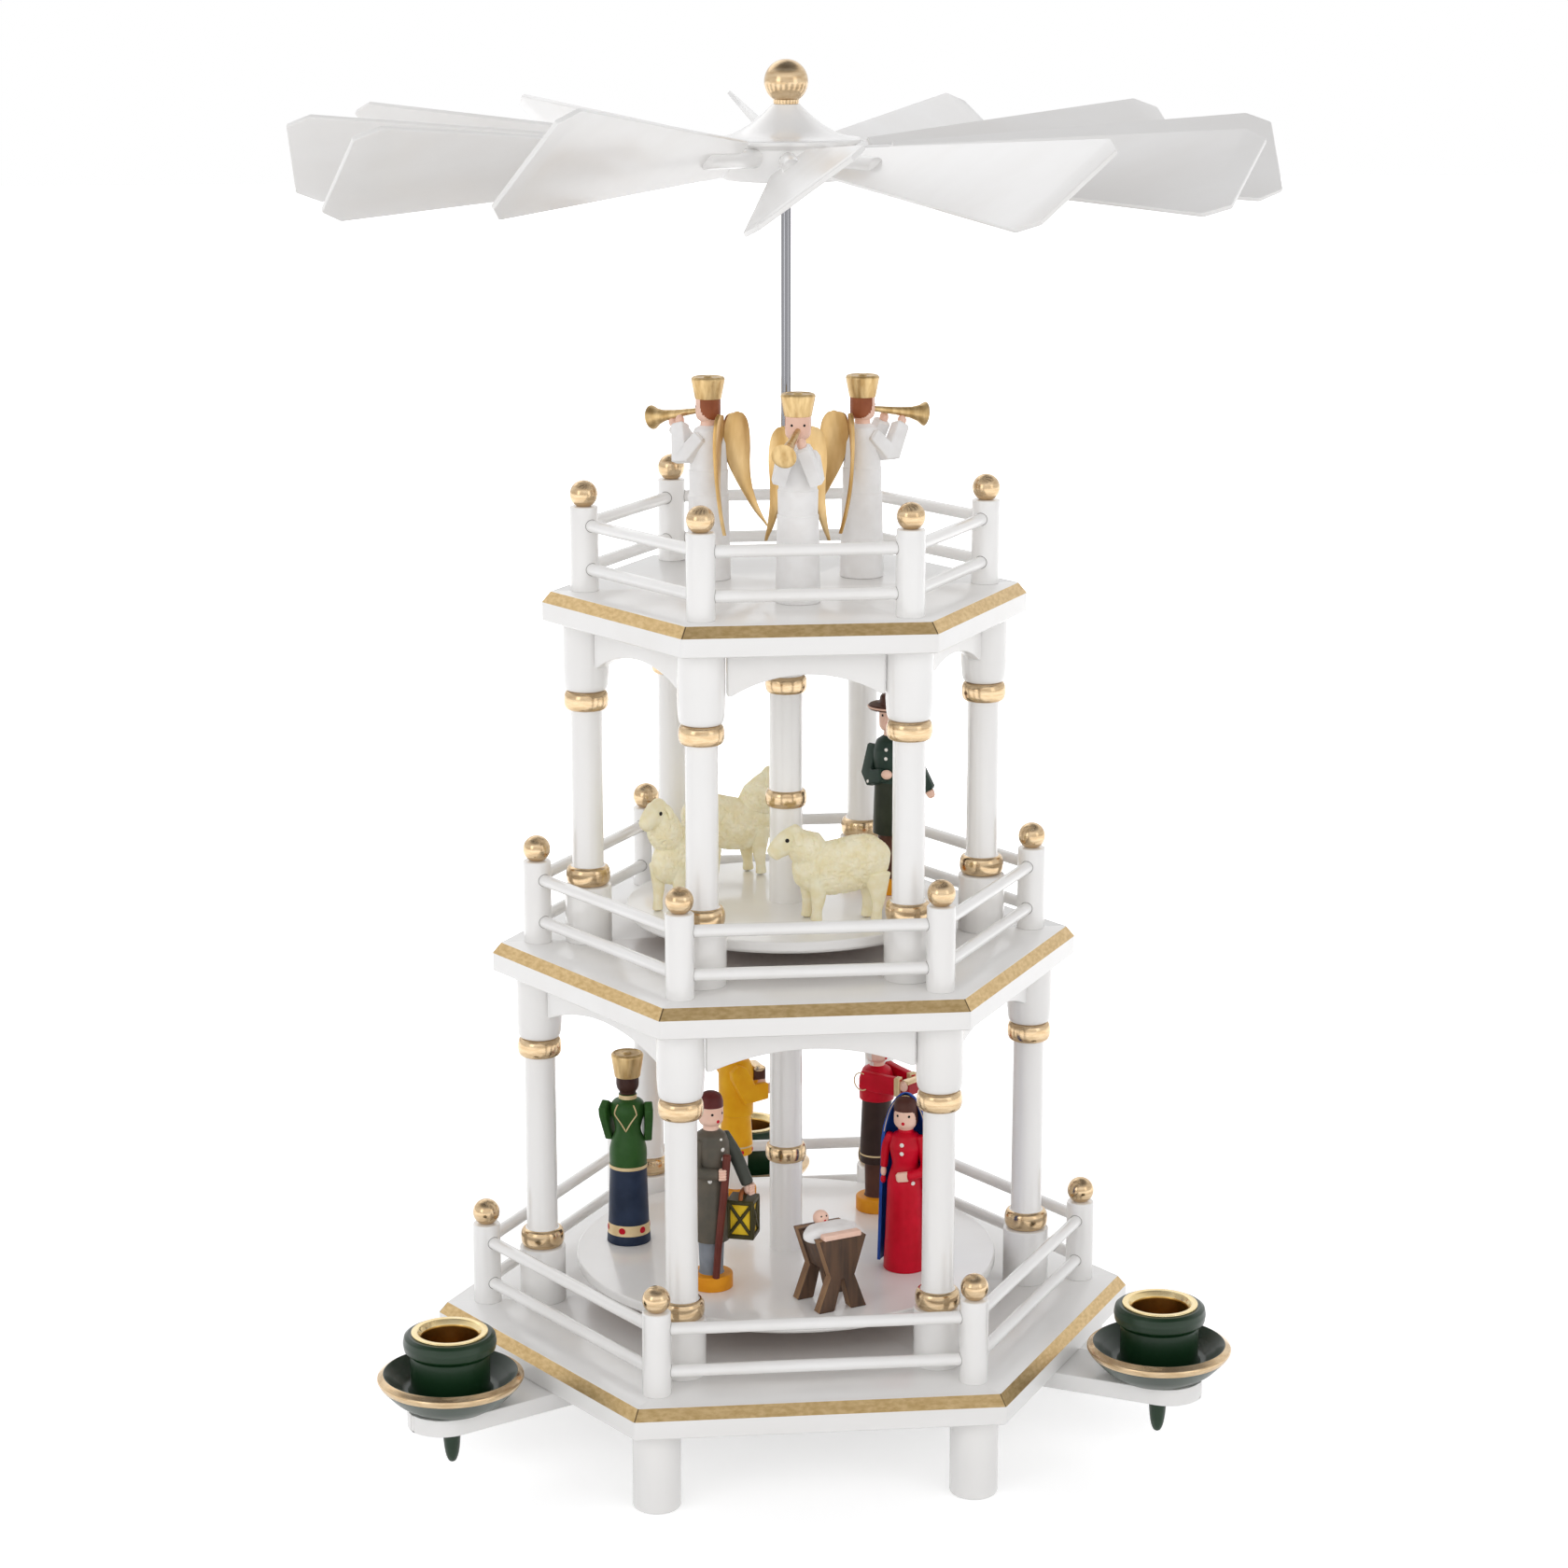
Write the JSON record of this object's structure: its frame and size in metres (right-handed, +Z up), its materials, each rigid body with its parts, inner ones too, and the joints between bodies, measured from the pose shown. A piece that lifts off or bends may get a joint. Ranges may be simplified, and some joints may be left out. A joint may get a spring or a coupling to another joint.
{
  "type": "christmas pyramid",
  "caption": "Tiered hexagonal candle carousel: warm air from candles on side arms turns a bladed wheel and discs with figures between columns and fences.",
  "frame": {"origin": "on the tower's turning axis, at the height of the feet's undersides", "axes": "+Z up along the shaft, -Y towards the front side of the hexagon, +X to the viewer's right"},
  "size_m": [0.3147, 0.3147, 0.45],
  "materials": {
    "white_lacquer": "wood under smooth satin white lacquer, with painted gold rings, balls and bevels",
    "gold_paint": "wood under brushed gold paint",
    "green_lacquer": "wood under glossy dark green lacquer, with a gold band",
    "insert_brass": "bright rolled sheet",
    "bearing_brass": "turned",
    "shaft_steel": "drawn bright rod",
    "sheep_resin": "cast, curled fleece, cream",
    "figure_green": "painted",
    "figure_yellow": "painted",
    "figure_red": "painted",
    "figure_grey": "painted",
    "figure_forest": "painted",
    "figure_white": "painted, with gold wings, hat and trumpet",
    "crib_brown": "stained, with white cloth"
  },
  "bodies": {
    "tower": {"base_plate": "white_lacquer", "middle_plate": "white_lacquer", "top_plate": "white_lacquer", "column_lower_1": "white_lacquer", "column_lower_2": "white_lacquer", "column_lower_3": "white_lacquer", "column_lower_4": "white_lacquer", "column_lower_5": "white_lacquer", "column_lower_6": "white_lacquer", "column_upper_1": "white_lacquer", "column_upper_2": "white_lacquer", "column_upper_3": "white_lacquer", "column_upper_4": "white_lacquer", "column_upper_5": "white_lacquer", "column_upper_6": "white_lacquer", "fence_base": "white_lacquer", "fence_middle": "white_lacquer", "fence_top": "white_lacquer", "candle_arm_1": "white_lacquer", "candle_arm_2": "white_lacquer", "candle_arm_3": "white_lacquer", "candle_holder_1": "green_lacquer", "candle_holder_2": "green_lacquer", "candle_holder_3": "green_lacquer", "candle_insert_1": "insert_brass", "candle_insert_2": "insert_brass", "candle_insert_3": "insert_brass", "bearing_cup": "bearing_brass", "angel_front": "figure_white", "angel_right": "figure_white", "angel_left": "figure_white"},
    "rotor": {"needle_shaft": "shaft_steel", "turntable_lower": "white_lacquer", "turntable_upper": "white_lacquer", "sleeve_lower": "white_lacquer", "sleeve_upper": "white_lacquer", "hub": "white_lacquer", "finial": "gold_paint", "king_green": "figure_green", "king_yellow": "figure_yellow", "king_red": "figure_red", "red_dress_figure": "figure_red", "crib": "crib_brown", "lantern_figure": "figure_grey", "sheep_front": "sheep_resin", "sheep_left": "sheep_resin", "sheep_back": "sheep_resin", "shepherd": "figure_forest"},
    "blade_01": {"blade_01": "white_lacquer"},
    "blade_02": {"blade_02": "white_lacquer"},
    "blade_03": {"blade_03": "white_lacquer"},
    "blade_04": {"blade_04": "white_lacquer"},
    "blade_05": {"blade_05": "white_lacquer"},
    "blade_06": {"blade_06": "white_lacquer"},
    "blade_07": {"blade_07": "white_lacquer"},
    "blade_08": {"blade_08": "white_lacquer"},
    "blade_09": {"blade_09": "white_lacquer"},
    "blade_10": {"blade_10": "white_lacquer"},
    "blade_11": {"blade_11": "white_lacquer"},
    "blade_12": {"blade_12": "white_lacquer"}
  },
  "joints": [
    {"name": "rotor_spin", "type": "hinge", "parent": "tower", "child": "rotor", "pos_m": [0, 0, 0.034], "axis": [0, 0, 1], "continuous": true},
    {"name": "blade_pitch_01", "type": "hinge", "parent": "rotor", "child": "blade_01", "pos_m": [0, 0, 0.4191], "axis": [-0.075, -0.9972, 0], "range_deg": [-36, 54]},
    {"name": "blade_pitch_02", "type": "hinge", "parent": "rotor", "child": "blade_02", "pos_m": [0, 0, 0.4191], "axis": [0.4337, -0.9011, 0], "range_deg": [-36, 54]},
    {"name": "blade_pitch_03", "type": "hinge", "parent": "rotor", "child": "blade_03", "pos_m": [0, 0, 0.4191], "axis": [0.8261, -0.5635, 0], "range_deg": [-34, 56]},
    {"name": "blade_pitch_04", "type": "hinge", "parent": "rotor", "child": "blade_04", "pos_m": [0, 0, 0.4191], "axis": [0.9972, -0.075, 0], "range_deg": [-37, 53]},
    {"name": "blade_pitch_05", "type": "hinge", "parent": "rotor", "child": "blade_05", "pos_m": [0, 0, 0.4191], "axis": [0.9011, 0.4337, 0], "range_deg": [-42, 48]},
    {"name": "blade_pitch_06", "type": "hinge", "parent": "rotor", "child": "blade_06", "pos_m": [0, 0, 0.4191], "axis": [0.5635, 0.8261, 0], "range_deg": [-41, 49]},
    {"name": "blade_pitch_07", "type": "hinge", "parent": "rotor", "child": "blade_07", "pos_m": [0, 0, 0.4191], "axis": [0.075, 0.9972, 0], "range_deg": [-42, 48]},
    {"name": "blade_pitch_08", "type": "hinge", "parent": "rotor", "child": "blade_08", "pos_m": [0, 0, 0.4191], "axis": [-0.4337, 0.9011, 0], "range_deg": [-43, 47]},
    {"name": "blade_pitch_09", "type": "hinge", "parent": "rotor", "child": "blade_09", "pos_m": [0, 0, 0.4191], "axis": [-0.8261, 0.5635, 0], "range_deg": [-44, 46]},
    {"name": "blade_pitch_10", "type": "hinge", "parent": "rotor", "child": "blade_10", "pos_m": [0, 0, 0.4191], "axis": [-0.9972, 0.075, 0], "range_deg": [-43, 47]},
    {"name": "blade_pitch_11", "type": "hinge", "parent": "rotor", "child": "blade_11", "pos_m": [0, 0, 0.4191], "axis": [-0.9011, -0.4337, 0], "range_deg": [-44, 46]},
    {"name": "blade_pitch_12", "type": "hinge", "parent": "rotor", "child": "blade_12", "pos_m": [0, 0, 0.4191], "axis": [-0.563, -0.8254, 0.0419], "range_deg": [-49, 41]}
  ]
}
